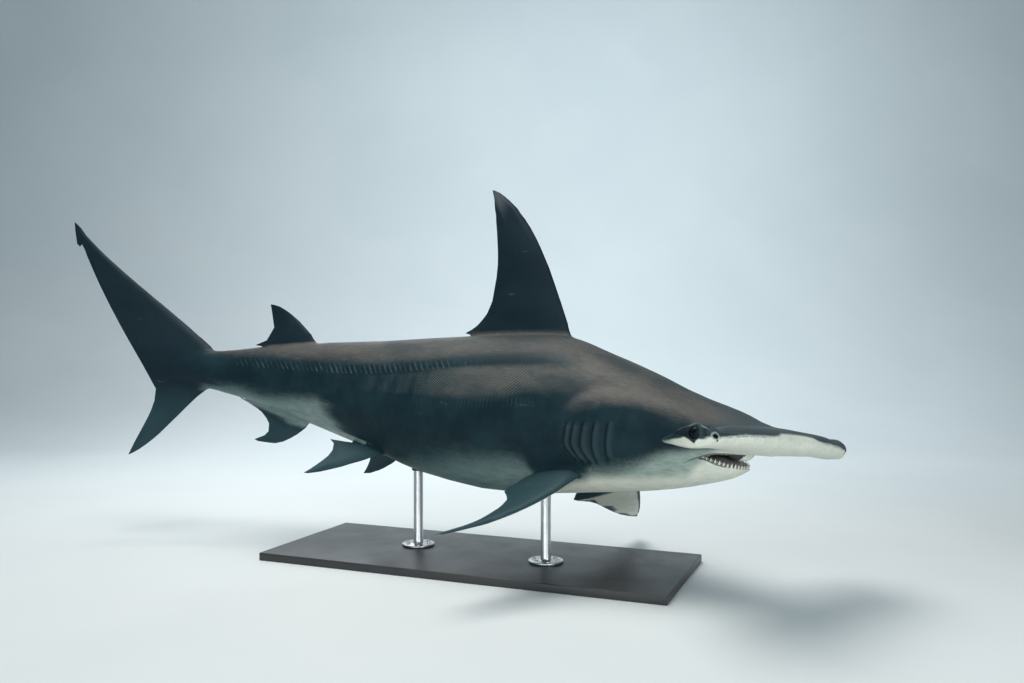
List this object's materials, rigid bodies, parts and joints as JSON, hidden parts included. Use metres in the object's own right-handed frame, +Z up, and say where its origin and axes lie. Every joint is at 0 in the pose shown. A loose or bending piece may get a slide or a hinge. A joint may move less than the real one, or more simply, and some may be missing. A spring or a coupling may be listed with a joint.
{
  "type": "great hammerhead shark display model",
  "caption": "Life-size still model of a great hammerhead shark, swimming in a gentle curve, held on a flat base by two short rods.",
  "frame": {"origin": "centre of the box of the whole model, on the floor under the stand's base", "axes": "+X to the right with the snout towards +X, +Y away from the viewer of the shark's right side, +Z up"},
  "size_m": [3.2242, 1.2892, 1.4522],
  "materials": {
    "skin_back": "shark skin, dark grey-brown above and pale below, satin",
    "skin_fin": "shark skin on the fins, dark slate, satin",
    "eye": "glossy dark eye",
    "teeth": "ivory teeth, glossy",
    "mouth": "grey mouth lining, satin",
    "stand": "satin black paint",
    "steel": "brushed steel"
  },
  "bodies": {
    "root": {"head": "skin_back", "torso": "skin_back", "tail": "skin_back", "caudal_fin": "skin_fin", "first_dorsal_fin": "skin_fin", "second_dorsal_fin": "skin_fin", "anal_fin": "skin_fin", "pectoral_fin_left": "skin_fin", "pectoral_fin_right": "skin_fin", "pelvic_fin_left": "skin_fin", "pelvic_fin_right": "skin_fin", "eye_left": "eye", "eye_right": "eye", "stand_base": "stand", "stand_rod_front": "steel", "stand_rod_rear": "steel"}
  },
  "joints": []
}
